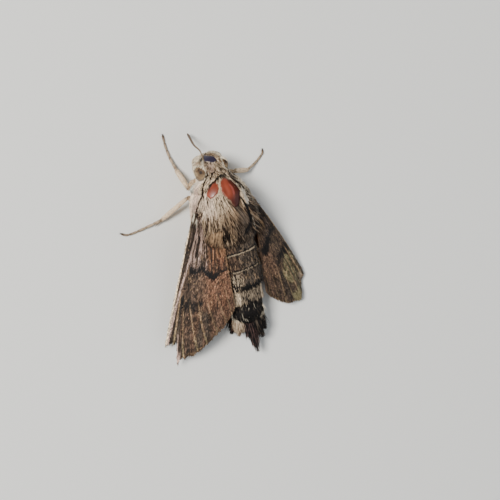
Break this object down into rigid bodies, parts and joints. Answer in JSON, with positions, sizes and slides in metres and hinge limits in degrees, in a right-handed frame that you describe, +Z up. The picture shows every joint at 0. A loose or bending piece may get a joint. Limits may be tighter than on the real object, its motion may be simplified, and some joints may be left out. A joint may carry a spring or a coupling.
{
  "type": "hawk moth",
  "caption": "Day-flying hawk moth resting with mottled forewings swept back, a furred body ending in a fan of long scales, jointed legs and club-shaped feelers.",
  "frame": {"origin": "middle of the bounding box, at the floor that the feet stand on", "axes": "+Z up, +Y the way the head points, +X to the moth's right"},
  "size_m": [0.0238, 0.0322, 0.0095],
  "materials": {
    "fur": "cream to grey-brown hair with dark flecks, and bald glossy red-brown patches on the back",
    "abdomen": "grey-brown scales in bands, black and cream towards the end",
    "tail": "long flat black and cream scales",
    "forewing": "brown scales with black wavy bands, a pale leading edge and pale veins",
    "hindwing": "tawny orange scales with a brown border",
    "leg": "cream scales, dark at the joints",
    "feeler": "dark brown, ringed",
    "tongue": "dark brown coil",
    "eye": "brown compound eye with a dark spot"
  },
  "bodies": {
    "root": {"abdomen_1": "abdomen", "abdomen_2": "abdomen", "abdomen_3": "abdomen", "abdomen_4": "abdomen", "abdomen_5": "abdomen", "abdomen_6": "abdomen", "antenna_left": "feeler", "antenna_right": "feeler", "collar": "fur", "coxa_fore_left": "leg", "coxa_fore_right": "leg", "coxa_hind_left": "leg", "coxa_hind_right": "leg", "coxa_mid_left": "leg", "coxa_mid_right": "leg", "eye_left": "eye", "eye_right": "eye", "femur_fore_left": "leg", "femur_fore_right": "leg", "femur_hind_left": "leg", "femur_hind_right": "leg", "femur_mid_left": "leg", "femur_mid_right": "leg", "forewing_left": "forewing", "forewing_right": "forewing", "head": "fur", "hindwing_left": "hindwing", "hindwing_right": "hindwing", "palp_left": "fur", "palp_right": "fur", "tail_fan": "tail", "tarsus_fore_left": "leg", "tarsus_fore_right": "leg", "tarsus_hind_left": "leg", "tarsus_hind_right": "leg", "tarsus_mid_left": "leg", "tarsus_mid_right": "leg", "tegula_left": "fur", "tegula_right": "fur", "thorax": "fur", "tibia_fore_left": "leg", "tibia_fore_right": "leg", "tibia_hind_left": "leg", "tibia_hind_right": "leg", "tibia_mid_left": "leg", "tibia_mid_right": "leg", "tongue": "tongue", "waist": "fur"}
  },
  "joints": []
}
